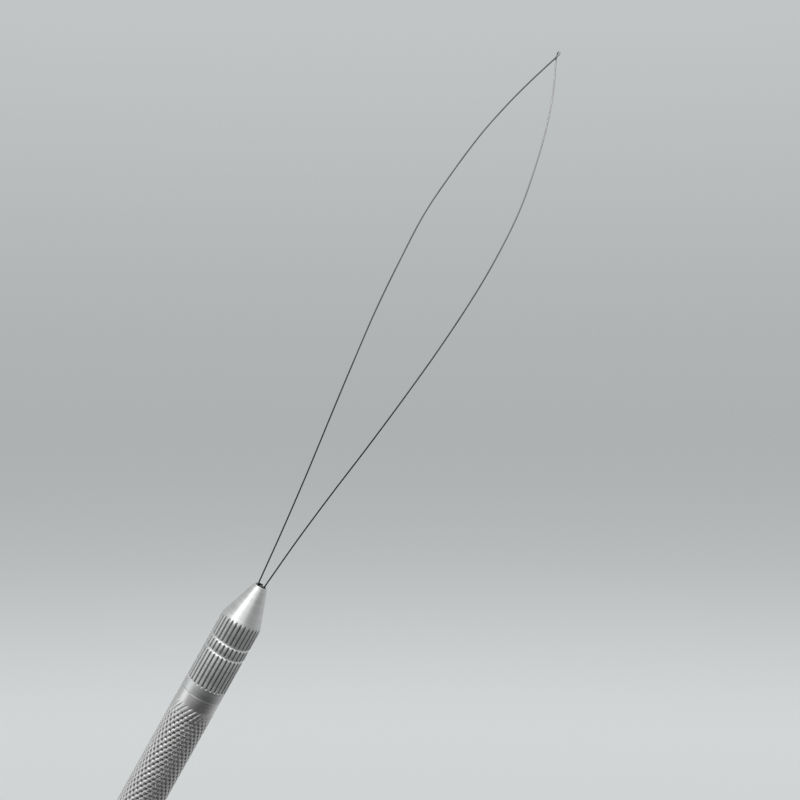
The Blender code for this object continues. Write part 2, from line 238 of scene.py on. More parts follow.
def spread_value(tree, source, low, high, start=0.3, stop=0.7):
    """Spreads a value between two levels; noise mostly lies between the start and stop given here."""
    ranged = tree.nodes.new("ShaderNodeMapRange")
    ranged.inputs["From Min"].default_value = start
    ranged.inputs["From Max"].default_value = stop
    ranged.inputs["To Min"].default_value = low
    ranged.inputs["To Max"].default_value = high
    feed(tree, source, ranged.inputs["Value"])
    return ranged.outputs["Result"]


def blended_colour(tree, share, first, second, blend="MIX"):
    """Blends from the first colour to the second by a share."""
    mix = tree.nodes.new("ShaderNodeMix")
    mix.data_type = "RGBA"
    mix.blend_type = blend
    feed(tree, share, mix.inputs["Factor"])
    feed(tree, first, mix.inputs["A"])
    feed(tree, second, mix.inputs["B"])
    return mix.outputs["Result"]


def background(tree, colour, strength):
    """A light that comes from all round."""
    light = tree.nodes.new("ShaderNodeBackground")
    feed(tree, colour, light.inputs["Color"])
    feed(tree, strength, light.inputs["Strength"])
    return light.outputs[0]


def chosen_shader(tree, share, first, second):
    """The first shader, or the second where the share is 1."""
    mix = tree.nodes.new("ShaderNodeMixShader")
    feed(tree, share, mix.inputs["Fac"])
    feed(tree, first, mix.inputs[1])
    feed(tree, second, mix.inputs[2])
    return mix.outputs[0]


# Camera, which sees the tool as the photograph does
CAMERA_AZIMUTH = math.radians(30.912)
CAMERA_ELEVATION = math.radians(5.855)
CAMERA_ROLL = math.radians(29.314)
CAMERA_DISTANCE = 0.300
CAMERA_AIM = (0.002574, 0.006615, 0.137451)
CAMERA_LENS = 72.79
CAMERA_SENSOR = 36
NEAREST_SEEN = 0.01
FARTHEST_SEEN = 50


def direction_at(azimuth, lift):
    """The direction at an azimuth from -Y and a lift above the level, both in radians."""
    level = math.cos(lift)
    return Vector((math.sin(azimuth) * level, -math.cos(azimuth) * level, math.sin(lift)))


def camera_axes():
    """The camera's right, up and back directions."""
    back = direction_at(CAMERA_AZIMUTH, CAMERA_ELEVATION)
    level_up = direction_at(CAMERA_AZIMUTH, CAMERA_ELEVATION + math.pi / 2)
    level_right = level_up.cross(back)
    up = level_up * math.cos(CAMERA_ROLL) - level_right * math.sin(CAMERA_ROLL)
    return up.cross(back), up, back


def camera_station():
    """Where the camera stands."""
    return Vector(CAMERA_AIM) + camera_axes()[2] * CAMERA_DISTANCE


def make_camera():
    """Places the camera."""
    data = bpy.data.cameras.new("camera")
    data.lens = CAMERA_LENS
    data.sensor_width = CAMERA_SENSOR
    data.clip_start = NEAREST_SEEN
    data.clip_end = FARTHEST_SEEN
    camera = bpy.data.objects.new("camera", data)
    bpy.context.scene.collection.objects.link(camera)
    turn = Matrix(camera_axes()).transposed().to_4x4()
    camera.matrix_world = Matrix.Translation(camera_station()) @ turn
    bpy.context.scene.camera = camera


# Backdrop: its grey levels from the foot of the picture to its top, under one cool tint
BACKDROP_LEVELS = ((0.02, 0.66), (0.15, 0.65), (0.30, 0.505), (0.50, 0.442), (0.98, 0.56))
BACKDROP_TINT = (0.962, 1.0, 1.003)
BACKDROP_SPREAD = 0.25
EVEN_LIGHT = 0.66
# all the light on the floor; its colour is divided by this, so that it shows the backdrop's own tones
FLOOR_LIGHT = 0.931
FLOOR_RADIUS = 20
FLOOR_SIDES = 96

# Studio that metal mirrors. Each part has its middle, in degrees right of the camera and above the level,
# and for its outer and its inner edge the cosine of the angle from the middle and the brightness there.
DIM_SIDE = ((42, -45), (0.05, 0.49), (0.88, 0.065))
SIDE_WINDOW = ((-78, -16), (0.915, 0), (0.985, 0.44))
PALE_GROUND = ((0, -90), (0.68, 0), (0.88, 0.44))
STUDIO_TINT = (0.97, 0.99, 1.0)


def studio_direction(turn, lift):
    """A direction in the studio, in degrees to the right of the camera and above the level."""
    return direction_at(CAMERA_AZIMUTH + math.radians(turn), math.radians(lift))


def make_lamp(name, turn, lift, strength, spread):
    """A soft light that shines from one direction of the studio."""
    direction = studio_direction(turn, lift)
    data = bpy.data.lights.new(name, "SUN")
    data.energy = strength
    data.angle = math.radians(spread)
    lamp = bpy.data.objects.new(name, data)
    bpy.context.scene.collection.objects.link(lamp)
    lamp.rotation_mode = "QUATERNION"
    lamp.rotation_quaternion = direction.to_track_quat("Z", "Y")
    lamp.location = direction


def backdrop_colour(tree, direction):
    """The soft bands of the backdrop, pale at the foot and the top, by height in the photograph."""
    height = vector_result(tree, "DOT_PRODUCT", direction, camera_axes()[1])
    bands = tree.nodes.new("ShaderNodeValToRGB")
    ramp = bands.color_ramp
    ramp.interpolation = "CARDINAL"
    ramp.elements[0].position = BACKDROP_LEVELS[0][0]
    ramp.elements[1].position = BACKDROP_LEVELS[-1][0]
    for stop in BACKDROP_LEVELS[1:-1]:
        ramp.elements.new(stop[0])
    for element, stop in zip(ramp.elements, BACKDROP_LEVELS):
        element.color = (*(stop[1] * part for part in BACKDROP_TINT), 1)
    feed(tree, spread_value(tree, height, 0, 1, -BACKDROP_SPREAD, BACKDROP_SPREAD), bands.inputs["Fac"])
    return bands.outputs["Color"]


def studio_level(tree, direction, part):
    """Brightness of one part of the studio, in any direction."""
    middle, outer, inner = part
    facing = vector_result(tree, "DOT_PRODUCT", direction, studio_direction(*middle))
    return spread_value(tree, facing, outer[1], inner[1], outer[0], inner[0])


def make_world():
    """Even pale light all round; the camera sees the backdrop, and polished metal the studio."""
    world = bpy.data.worlds.new("studio")
    bpy.context.scene.world = world
    tree = fresh_tree(world)
    direction = tree.nodes.new("ShaderNodeTexCoord").outputs["Generated"]
    path = tree.nodes.new("ShaderNodeLightPath")
    even = background(tree, (1, 1, 1), EVEN_LIGHT)
    backdrop = background(tree, backdrop_colour(tree, direction), 1)
    walls = studio_level(tree, direction, DIM_SIDE)
    lit = combined(tree, "ADD", walls, studio_level(tree, direction, SIDE_WINDOW))
    level = combined(tree, "MAXIMUM", lit, studio_level(tree, direction, PALE_GROUND))
    studio = background(tree, STUDIO_TINT, level)
    seen = chosen_shader(tree, path.outputs["Is Camera Ray"], even, backdrop)
    surface = chosen_shader(tree, path.outputs["Is Glossy Ray"], seen, studio)
    feed(tree, surface, tree.nodes.new("ShaderNodeOutputWorld").inputs["Surface"])


def make_floor():
    """A wide pale floor under the tail face, in the backdrop's own tones so that no edge shows."""
    bpy.ops.object.select_all(action="DESELECT")
    bpy.ops.mesh.primitive_circle_add(
        vertices=FLOOR_SIDES, radius=FLOOR_RADIUS, fill_type="NGON", location=(0, 0, 0))
    floor = bpy.context.object
    floor.name = "floor"
    material = bpy.data.materials.new("floor paper")
    tree = fresh_tree(material)
    shader = tree.nodes.new("ShaderNodeBsdfDiffuse")
    place = tree.nodes.new("ShaderNodeTexCoord")
    away = vector_result(tree, "SUBTRACT", place.outputs["Object"], camera_station())
    tone = backdrop_colour(tree, vector_result(tree, "NORMALIZE", away))
    feed(tree, blended_colour(tree, 1, tone, (FLOOR_LIGHT,) * 3, "DIVIDE"), shader.inputs["Color"])
    feed(tree, shader.outputs[0], tree.nodes.new("ShaderNodeOutputMaterial").inputs[0])
    floor.data.materials.append(material)
    floor.visible_glossy = False


# Surfaces. Grain is in features per metre along each axis.
TOOL_MARK_DETAIL = 4
PATCH_GRAIN = (330, 330, 210)
PATCH_DETAIL = 4
SPECK_GRAIN = (2600, 2600, 2600)
SPECK_DETAIL = 2
NOISE_ROUGHNESS = 0.6
# how far the tool marks and the patches change the roughness
TOOL_MARK_GLOSS = 0.06
PATCH_GLOSS = (-0.04, 0.05)
# the painted shade in the grooves is thinner on specks, and cut gloss sets in over this stretch of the sunk
# share
SPECK_THINNING = 0.75
CUT_START = 0.02
CUT_FULL = 0.3
MARKS_STRENGTH = 0.6
# wire: grain round and along it, grain of the patches of its painted sheen, and where along the loop the
# painted sheen sets in and is full
DRAWN_GRAIN = (4, 4, 160)
SHEEN_GRAIN = (150, 150, 150)
WIRE_DETAIL = 3
SHEEN_FROM_SHARE = 0.30
SHEEN_FULL_SHARE = 0.80
LEAST_SHEEN = 0.65
DARK_WIRE = (0.10, 0.10, 0.103)
SHEEN_WIRE = (0.56, 0.555, 0.54)
WIRE_ROUGHNESS = (0.14, 0.22)


def noise(tree, source, grain, detail):
    """Noise over a place, stretched by its grain."""
    texture = tree.nodes.new("ShaderNodeTexNoise")
    texture.inputs["Scale"].default_value = 1.0
    texture.inputs["Detail"].default_value = detail
    texture.inputs["Roughness"].default_value = NOISE_ROUGHNESS
    feed(tree, vector_result(tree, "MULTIPLY", source, grain), texture.inputs["Vector"])
    return texture.outputs["Fac"]


def ringed_place(tree, place):
    """A place with its reach from the axis added to its height: marks then run round walls and end faces."""
    parts = tree.nodes.new("ShaderNodeSeparateXYZ")
    flat = tree.nodes.new("ShaderNodeCombineXYZ")
    ringed = tree.nodes.new("ShaderNodeCombineXYZ")
    feed(tree, place, parts.inputs[0])
    for axis in ("X", "Y"):
        feed(tree, parts.outputs[axis], flat.inputs[axis])
        feed(tree, parts.outputs[axis], ringed.inputs[axis])
    reach = vector_result(tree, "LENGTH", flat.outputs[0])
    feed(tree, combined(tree, "ADD", reach, parts.outputs["Z"]), ringed.inputs["Z"])
    return ringed.outputs[0]


def kept_on_corners(tree, name, output):
    """What was kept on the corners of a piece under a name."""
    kept = tree.nodes.new("ShaderNodeAttribute")
    kept.attribute_name = name
    return kept.outputs[output]


def metal_shader(tree):
    """A plain metal shader, linked to the output of its material."""
    shader = tree.nodes.new("ShaderNodeBsdfPrincipled")
    shader.inputs["Metallic"].default_value = 1.0
    feed(tree, shader.outputs[0], tree.nodes.new("ShaderNodeOutputMaterial").inputs[0])
    return shader


def metal(
        name, colour, dull_colour, roughness, marks, marks_depth,
        anisotropy=0.0, groove_shade=None, cut_gloss=0.0, ridge_dulling=0.0):
    """Machined metal: fine tool marks, patches of uneven gloss, and painted shade darkening its grooves.

    The painted groove shade is given by its colour, its greatest share, and how far sunk it starts and is
    full. Grooves are glossier by cut_gloss, and rubbed ridges are rougher by ridge_dulling.
    """
    material = bpy.data.materials.new(name)
    tree = fresh_tree(material)
    shader = metal_shader(tree)
    place = tree.nodes.new("ShaderNodeTexCoord").outputs["Object"]
    tool_marks = noise(tree, ringed_place(tree, place), marks, TOOL_MARK_DETAIL)
    patches = noise(tree, place, PATCH_GRAIN, PATCH_DETAIL)
    specks = noise(tree, place, SPECK_GRAIN, SPECK_DETAIL)
    if anisotropy:
        shader.inputs["Anisotropic"].default_value = anisotropy
        grain = tree.nodes.new("ShaderNodeTangent")
        grain.direction_type = "RADIAL"
        grain.axis = "Z"
        feed(tree, grain.outputs[0], shader.inputs["Tangent"])
    tone = blended_colour(tree, spread_value(tree, tool_marks, 0, 1), dull_colour, colour)
    marked = spread_value(tree, tool_marks, roughness - TOOL_MARK_GLOSS, roughness + TOOL_MARK_GLOSS)
    gloss = combined(tree, "ADD", marked, spread_value(tree, patches, *PATCH_GLOSS))
    # painted shade: grooves and pits take a dark colour that stands in for the shade falling in them
    if groove_shade:
        groove_shade_colour, share, start, stop = groove_shade
        sunk = kept_on_corners(tree, "sunk", "Fac")
        thinned = spread_value(tree, specks, share * SPECK_THINNING, share)
        shade_share = combined(tree, "MULTIPLY", spread_value(tree, sunk, 0, 1, start, stop), thinned)
        tone = blended_colour(tree, shade_share, tone, groove_shade_colour)
        gloss = combined(tree, "ADD", gloss, spread_value(tree, sunk, 0, -cut_gloss, CUT_START, CUT_FULL))
    if ridge_dulling:
        ridge = kept_on_corners(tree, "ridge", "Fac")
        gloss = combined(tree, "MULTIPLY_ADD", ridge, ridge_dulling, gloss)
    feed(tree, tone, shader.inputs["Base Color"])
    feed(tree, gloss, shader.inputs["Roughness"])
    bump = tree.nodes.new("ShaderNodeBump")
    bump.inputs["Strength"].default_value = MARKS_STRENGTH
    bump.inputs["Distance"].default_value = marks_depth
    feed(tree, tool_marks, bump.inputs["Height"])
    feed(tree, bump.outputs[0], shader.inputs["Normal"])
    return material


def spring_wire():
    """Drawn steel wire: dark and smooth near the nose, with a painted sheen that brightens it in patches
    further up.
    """
    material = bpy.data.materials.new("drawn spring wire")
    tree = fresh_tree(material)
    shader = metal_shader(tree)
    place = tree.nodes.new("ShaderNodeTexCoord").outputs["Object"]
    parts = tree.nodes.new("ShaderNodeSeparateXYZ")
    feed(tree, place, parts.inputs[0])
    drawn = noise(tree, kept_on_corners(tree, "drawn", "Vector"), DRAWN_GRAIN, WIRE_DETAIL)
    sheen_patches = noise(tree, place, SHEEN_GRAIN, WIRE_DETAIL)
    sheen_from = NOSE_FACE_Z + LOOP_LENGTH * SHEEN_FROM_SHARE
    sheen_full = NOSE_FACE_Z + LOOP_LENGTH * SHEEN_FULL_SHARE
    # painted sheen: the colour brightens with height, in patches, standing in for the wire's reflections and
    # glints
    upward = spread_value(tree, parts.outputs["Z"], 0, 1, sheen_from, sheen_full)
    painted_sheen = combined(tree, "MULTIPLY", upward, spread_value(tree, sheen_patches, LEAST_SHEEN, 1.0))
    feed(tree, blended_colour(tree, painted_sheen, DARK_WIRE, SHEEN_WIRE), shader.inputs["Base Color"])
    feed(tree, spread_value(tree, drawn, *WIRE_ROUGHNESS), shader.inputs["Roughness"])
    return material


# Screw thread between the cap and the spigot
PITCH = 0.0010
THREAD_RADIUS = 0.0030
CORE_RADIUS = 0.0026
THREAD_CLEARANCE = 0.00015
THREAD_CREST = 0.0002
THREAD_FLANK = 0.00023
THREAD_END_Z = SPIGOT_TOP_Z + 0.00013


def thread_groove(height, angle, start_z):
    """Depth of the thread's groove by height and angle; at angle 0 it is deepest at the start."""
    phase = np.mod((height - start_z) / PITCH - angle / (2 * math.pi), 1)
    away = np.minimum(phase, 1 - phase) * PITCH
    groove_edge = (PITCH - THREAD_CREST) / 2
    return np.clip((groove_edge - away) / THREAD_FLANK, 0, 1) * (THREAD_RADIUS - CORE_RADIUS)


# Nose cap
FACE_RADIUS = 0.001325
FACE_EDGE = 0.00020
CONE_SLOPE = (HANDLE_RADIUS - FACE_RADIUS) / CONE_LENGTH
CONE_ROWS = 14
SHOULDER_BEND = 0.0020
SHOULDER_ROWS = 22
RING_HALF_WIDTH = 0.00034
RING_DEPTH = 0.00030
RING_SHARES = (0.93, 0.8, 0.65, 0.5, 0.36, 0.22, 0.08)
RING_LIP = 0.00003
RING_EASE = 0.000006
RING_EASE_DEPTH = 0.00001
CAP_ANGLE = 32

# each flute has 14 columns of corners to the next: 0 to 4 on either side of its middle lie in it,
# 5 is on its lip, and 6 and 7 are on the land
FLUTES = 28
FLUTE_RADIUS = 0.00022
FLUTE_DEPTH = 0.00018
FLUTE_CENTRE = HANDLE_RADIUS - FLUTE_DEPTH + FLUTE_RADIUS
FLUTE_COLUMNS = 14
LIP_COLUMN = 5
LIP_EASE = 0.000018
LEAST_FLUTE_SHARE = 0.10
LAND_SHARE = 0.35
LAND_REACH = 0.012

# rows of corners round the lower ends of the flutes, and how far a corner of the fluted wall may lie
# below the flutes' end, under the cone and under the floor of the V grooves
FLUTE_END_ROWS = 9
FLUTE_END_RISE = 0.00002
FLUTE_LAST_RISE = 0.000018
FLUTE_CLOSE_DROPS = (0.00006, 0.00018)
ROOM_BELOW_FLUTES = 0.0001
ROOM_UNDER_CONE = 0.0002
ROOM_UNDER_RINGS = 0.00005

# the rim stands a little lower than that of the solids, and closes most of the seam
SEAM_CLOSING = 0.00007
RIM_Z = CAP_RIM_Z - SEAM_CLOSING
SEAM_EDGE = 0.000015
EDGE_ROOM = 0.0003

# inside of the cap
NOSE_BORE_RADIUS = 0.00105
NOSE_BORE_EDGE = 0.00007
CHAMBER_RADIUS = 0.0023
CAP_WALL_RADIUS = CORE_RADIUS + THREAD_CLEARANCE
LEAD_IN_RADIUS = THREAD_RADIUS + THREAD_CLEARANCE + 0.00005
LEAD_IN_CHAMFER = 0.0001
LEAD_IN_END_Z = CAP_RIM_Z + 0.0010
CAP_THREAD_Z = CAP_RIM_Z + 0.00145
CAP_THREAD_ROWS = 61
THREAD_ROOM = 0.00005


def cone_radius(height):
    """Radius of the plain cone at a height."""
    return FACE_RADIUS + (NOSE_FACE_Z - height) * CONE_SLOPE


def ring_groove(ring_z):
    """Outline of one V groove with eased lips, from its upper lip down."""
    upper = [
        (HANDLE_RADIUS - RING_DEPTH * (1 - share), ring_z + RING_HALF_WIDTH * share) for share in RING_SHARES]
    lower = [(radius, 2 * ring_z - height) for radius, height in reversed(upper)]
    eased_radius = HANDLE_RADIUS - RING_EASE_DEPTH
    return [
        (HANDLE_RADIUS, ring_z + RING_HALF_WIDTH + RING_LIP),
        (eased_radius, ring_z + RING_HALF_WIDTH + RING_EASE),
        *upper,
        *lower,
        (eased_radius, ring_z - RING_HALF_WIDTH - RING_EASE),
        (HANDLE_RADIUS, ring_z - RING_HALF_WIDTH - RING_LIP),
    ]


def cap_outer_outline():
    """Outer outline of the nose cap, before its flutes are pressed in."""
    outline = quarter_turn(FACE_RADIUS, NOSE_FACE_Z, FACE_EDGE, 6, going_in=False)
    # the run-outs of the flutes and the rounded shoulder take close rows
    close_rows_z = CONE_BASE_Z + FLUTE_DEPTH / CONE_SLOPE + EDGE_ROOM
    for height in rows_between(NOSE_FACE_Z - FACE_EDGE, close_rows_z, CONE_ROWS):
        outline.append((cone_radius(height), height))
    half_turn = math.atan(CONE_SLOPE) / 2
    reach = SHOULDER_BEND * math.tan(half_turn)
    bend_top = CONE_BASE_Z + reach * math.cos(2 * half_turn)
    bend_end = CONE_BASE_Z - reach
    for height in rows_between(close_rows_z, bend_end, SHOULDER_ROWS):
        if height > bend_top:
            outline.append((cone_radius(height), height))
        else:
            bend = math.sqrt(max(SHOULDER_BEND ** 2 - (height - bend_end) ** 2, 0))
            outline.append((HANDLE_RADIUS - SHOULDER_BEND + bend, height))
    outline += ring_groove(FIRST_RING_Z)
    outline += ring_groove(SECOND_RING_Z)
    round_end_z = FLUTE_END_Z + FLUTE_RADIUS
    heights = [(SECOND_RING_Z + FLUTE_END_Z) / 2, round_end_z + FLUTE_END_RISE]
    heights += rows_between(round_end_z, FLUTE_END_Z + FLUTE_LAST_RISE, FLUTE_END_ROWS)
    # two close rows keep the shading of the flute ends off the plain rim
    heights += [FLUTE_END_Z - drop for drop in FLUTE_CLOSE_DROPS]
    heights.append(RIM_Z + SEAM_EDGE + EDGE_ROOM)
    outline += [(HANDLE_RADIUS, height) for height in heights]
    return outline + quarter_turn(HANDLE_RADIUS, RIM_Z, SEAM_EDGE, 3, going_in=True)


def cap_inner_outline():
    """Inner outline of the nose cap: lead-in, wall for the thread, chamber, inner cone and nose bore."""
    thread_rows = rows_between(CAP_THREAD_Z, THREAD_END_Z, CAP_THREAD_ROWS)
    return [
        (LEAD_IN_RADIUS + LEAD_IN_CHAMFER, RIM_Z),
        (LEAD_IN_RADIUS, CAP_RIM_Z + LEAD_IN_CHAMFER),
        (LEAD_IN_RADIUS, LEAD_IN_END_Z),
        (CAP_WALL_RADIUS, CAP_THREAD_Z),
        *((CAP_WALL_RADIUS, height) for height in thread_rows),
        (CHAMBER_RADIUS, THREAD_END_Z + CAP_WALL_RADIUS - CHAMBER_RADIUS),
        (CHAMBER_RADIUS, INNER_CONE_TOP_Z - INNER_CONE_LENGTH),
        (NOSE_BORE_RADIUS, INNER_CONE_TOP_Z),
        (NOSE_BORE_RADIUS, NOSE_FACE_Z - NOSE_BORE_EDGE),
    ]


def flute_half_angle(radius, ball):
    """Half the angle that a flute takes up where the plain wall has this radius."""
    cosine = (FLUTE_CENTRE ** 2 + radius ** 2 - ball ** 2) / (2 * FLUTE_CENTRE * radius)
    return np.arccos(np.clip(cosine, -1, 1))


def press_flutes(cap):
    """Sinks the straight flutes into the cap, with their rounded lower ends and their run-outs on the cone.

    Gives back how far each corner is sunk, and which corners lie on the ridges between the flutes.
    """
    co, radius, angle = round_places(cap)
    height = co[:, 2]
    outer = (height > FLUTE_END_Z - ROOM_BELOW_FLUTES) & (height < NOSE_FACE_Z - FACE_EDGE)
    ring_floor = HANDLE_RADIUS - RING_DEPTH
    outer &= radius > np.minimum(cone_radius(height) - ROOM_UNDER_CONE, ring_floor - ROOM_UNDER_RINGS)
    pitch = 2 * math.pi / FLUTES
    column = np.round(angle / (pitch / FLUTE_COLUMNS)).astype(int)
    flute = np.floor_divide(column + FLUTE_COLUMNS // 2, FLUTE_COLUMNS)
    step = column - flute * FLUTE_COLUMNS
    aside = np.abs(step)
    drop = np.clip(FLUTE_END_Z + FLUTE_RADIUS - height, 0, FLUTE_RADIUS)
    ball = np.sqrt(FLUTE_RADIUS ** 2 - drop ** 2)
    half = flute_half_angle(radius, ball)
    least = LEAST_FLUTE_SHARE * pitch
    # each corner goes to the angle of its column, by how wide the flute is at its height
    spread = np.maximum(half, least)
    land = pitch / 2 - spread
    beyond_lip = spread + np.minimum(land * LAND_SHARE, LAND_REACH)
    on_land = np.where(aside == LIP_COLUMN + 1, beyond_lip, pitch / 2)
    away = np.where(aside <= LIP_COLUMN, spread * (aside / LIP_COLUMN), on_land)
    offset = np.sign(step) * away
    # and in to the hollow of the flute
    across = FLUTE_CENTRE * np.sin(np.abs(offset))
    hollow = FLUTE_CENTRE * np.cos(offset) - np.sqrt(np.maximum(ball ** 2 - across ** 2, 0))
    within = (across < ball) & (half > 0)
    new_radius = np.where(within, np.minimum(radius, hollow), radius)
    # the lip is eased a little, so that it takes a thin bright line
    on_lip = (aside == LIP_COLUMN) & (half > least)
    new_radius = np.where(on_lip, radius - LIP_EASE, new_radius)
    new_angle = flute * pitch + offset
    co[:, 0] = np.where(outer, new_radius * np.cos(new_angle), co[:, 0])
    co[:, 1] = np.where(outer, new_radius * np.sin(new_angle), co[:, 1])
    put_places(cap, co)
    sunk = np.where(outer, np.clip((radius - new_radius) / FLUTE_DEPTH, 0, 1), 0)
    ridge = outer & (aside >= LIP_COLUMN) & (half > least) & (radius > HANDLE_RADIUS - ON_WALL)
    return sunk, ridge.astype(float)


def press_cap_thread(cap):
    """Sinks the internal thread into the wall of the cap."""
    co, radius, angle = round_places(cap)
    height = co[:, 2]
    wall = np.abs(radius - CAP_WALL_RADIUS) < ON_WALL
    wall &= (height > CAP_THREAD_Z - THREAD_ROOM) & (height < THREAD_END_Z - THREAD_ROOM)
    groove = thread_groove(height, angle, SHOULDER_Z + PITCH / 2)
    put_radii(cap, co, radius, np.where(wall, radius + groove, radius))


def make_nose_cap(material):
    """The screw-on nose: cone, flutes, two V grooves, plain rim and inner thread."""
    outline = cap_outer_outline() + cap_inner_outline()
    cap = turn_closed("nose_cap_turned", outline, FLUTES * FLUTE_COLUMNS)
    sunk, ridge = press_flutes(cap)
    press_cap_thread(cap)
    mark_corners(cap, "sunk", sunk)
    mark_corners(cap, "ridge", ridge)
    finish_piece(cap, "nose", "nose_cap", material, CAP_ANGLE)


# Handle
SPIGOT_EDGE = 0.0003
SPIGOT_ROWS = 52
NECK_TOP_Z = SHOULDER_Z + 0.0010
NECK_RADIUS = CORE_RADIUS - 0.00005
NECK_EDGE = 0.00004
TUBE_BORE_RADIUS = 0.0025
TUBE_BORE_CHAMFER = 0.0002
SPIGOT_BORE_RADIUS = 0.00158
SPIGOT_BORE_CHAMFER = 0.0001
SPIGOT_BORE_LENGTH = 0.0080
BORE_STEP_LENGTH = 0.0012
BAND_ROOM = 0.0004
HANDLE_ANGLE = 24

# knurl: diamonds round the handle, rows of corners to each, and its narrow grooves between flat tops
KNURL_DIAMONDS = 24
KNURL_PITCH = 0.0016
KNURL_DEPTH = 0.00024
KNURL_CELLS = 8
KNURL_ROW = KNURL_PITCH / KNURL_CELLS
ROWS_ABOVE_KNURL = 4
ROOM_BELOW_KNURL = 0.0001
GROOVE_PLACES = (0, 0.25, 0.5)
GROOVE_LEVELS = (0, 0.60, 1.0)
GROOVE_SHARE = 0.40
PIT_SHARE = 0.60
PIT_REACH = 1.25
# how much painted shade lies along a single groove
GROOVE_SHADE = 0.1

# how the knurl fades out: one set of grooves starts a little before the other, then the crests rise
FIRST_FADE_Z = KNURL_TOP_Z + 0.0004
FIRST_FADE_LENGTH = 0.0009
SECOND_FADE_Z = KNURL_TOP_Z - 0.0004
SECOND_FADE_LENGTH = 0.0026
CREST_FADE_LENGTH = 0.0006
TAIL_FADE_LENGTH = 0.0008


def handle_outline():
    """Outer and inner outline of the handle tube, before its knurl and thread are formed."""
    outline = [(THREAD_RADIUS - SPIGOT_EDGE, SPIGOT_TOP_Z), (THREAD_RADIUS, SPIGOT_TOP_Z - SPIGOT_EDGE)]
    for height in rows_between(SPIGOT_TOP_Z - SPIGOT_EDGE, NECK_TOP_Z, SPIGOT_ROWS):
        outline.append((THREAD_RADIUS, height))
    outline += [(NECK_RADIUS, NECK_TOP_Z - NECK_EDGE), (NECK_RADIUS, SHOULDER_Z)]
    outline += quarter_turn(HANDLE_RADIUS, SHOULDER_Z, SEAM_EDGE, 3, going_in=False)
    first_row = KNURL_TOP_Z + KNURL_ROW * ROWS_ABOVE_KNURL
    outline += [(HANDLE_RADIUS, SHOULDER_Z - BAND_ROOM), (HANDLE_RADIUS, first_row)]
    for height in rows_between(first_row, KNURL_END_Z, round((first_row - KNURL_END_Z) / KNURL_ROW)):
        outline.append((HANDLE_RADIUS, height))
    outline.append((HANDLE_RADIUS, TUBE_END_Z + SEAM_EDGE + EDGE_ROOM))
    outline += quarter_turn(HANDLE_RADIUS, TUBE_END_Z, SEAM_EDGE, 3, going_in=True)
    bore_end = SPIGOT_TOP_Z - SPIGOT_BORE_LENGTH
    outline += [
        (TUBE_BORE_RADIUS + TUBE_BORE_CHAMFER, TUBE_END_Z),
        (TUBE_BORE_RADIUS, TUBE_END_Z + TUBE_BORE_CHAMFER),
        (TUBE_BORE_RADIUS, bore_end - BORE_STEP_LENGTH),
        (SPIGOT_BORE_RADIUS, bore_end),
        (SPIGOT_BORE_RADIUS, SPIGOT_TOP_Z - SPIGOT_BORE_CHAMFER),
        (SPIGOT_BORE_RADIUS + SPIGOT_BORE_CHAMFER, SPIGOT_TOP_Z),
    ]
    return outline


def press_knurl(handle):
    """Presses the diamond knurl: two sets of slanting grooves that cross all over the grip.

    Gives back how much painted shade each corner takes: most in the pits, and a little along each groove.
    """
    co, radius, angle = round_places(handle)
    height = co[:, 2]
    grip = np.abs(radius - HANDLE_RADIUS) < ON_WALL / 2
    grip &= (height < KNURL_TOP_Z + KNURL_PITCH / 2) & (height > KNURL_END_Z - ROOM_BELOW_KNURL)
    across = angle / (2 * math.pi) * KNURL_DIAMONDS
    down = (KNURL_TOP_Z - height) / KNURL_PITCH
    first = np.mod(across + down, 1)
    second = np.mod(across - down, 1)
    first = np.minimum(first, 1 - first) * 2
    second = np.minimum(second, 1 - second) * 2
    first_fade = np.clip((FIRST_FADE_Z - height) / FIRST_FADE_LENGTH, 0, 1)
    second_fade = np.clip((SECOND_FADE_Z - height) / SECOND_FADE_LENGTH, 0, 1)
    tail_fade = np.clip((height - KNURL_END_Z) / TAIL_FADE_LENGTH, 0, 1)
    first_low = (1 - np.interp(first, GROOVE_PLACES, GROOVE_LEVELS)) * first_fade * tail_fade
    second_low = (1 - np.interp(second, GROOVE_PLACES, GROOVE_LEVELS)) * second_fade * tail_fade
    # wherever two grooves cross there is a deeper pit
    pits = np.clip(PIT_REACH - 2 * np.maximum(first, second), 0, 1) * first_fade * second_fade * tail_fade
    low = GROOVE_SHARE * np.maximum(first_low, second_low) + PIT_SHARE * pits
    raised = np.clip((KNURL_TOP_Z - height) / CREST_FADE_LENGTH, 0, 1) * tail_fade
    crest = HANDLE_RADIUS + (KNURL_RADIUS - HANDLE_RADIUS) * raised
    put_radii(handle, co, radius, np.where(grip, crest - KNURL_DEPTH * low, radius))
    # share of painted shade: full in the pits, thin along the grooves
    return np.where(grip, np.clip(pits + GROOVE_SHADE * low, 0, 1), 0)


def press_spigot_thread(handle):
    """Cuts the groove that leaves the screw thread of the spigot."""
    co, radius, angle = round_places(handle)
    height = co[:, 2]
    wall = (np.abs(radius - THREAD_RADIUS) < ON_WALL) & (height > NECK_TOP_Z)
    groove = thread_groove(height, angle, SHOULDER_Z)
    put_radii(handle, co, radius, np.where(wall, radius - groove, radius))


def make_handle(material):
    """The knurled tube with its plain bands, threaded spigot and bore."""
    handle = turn_closed("handle_knurled", handle_outline(), KNURL_DIAMONDS * KNURL_CELLS)
    sunk = press_knurl(handle)
    press_spigot_thread(handle)
    # the grip keeps its share of painted shade, not its depth, under "sunk"
    mark_corners(handle, "sunk", sunk)
    bpy.context.view_layer.objects.active = handle
    bpy.ops.object.mode_set(mode="EDIT")
    bpy.ops.mesh.select_all(action="SELECT")
    bpy.ops.mesh.quads_convert_to_tris(quad_method="SHORTEST_DIAGONAL")
    bpy.ops.object.mode_set(mode="OBJECT")
    finish_piece(handle, "handle", "handle_barrel", material, HANDLE_ANGLE)


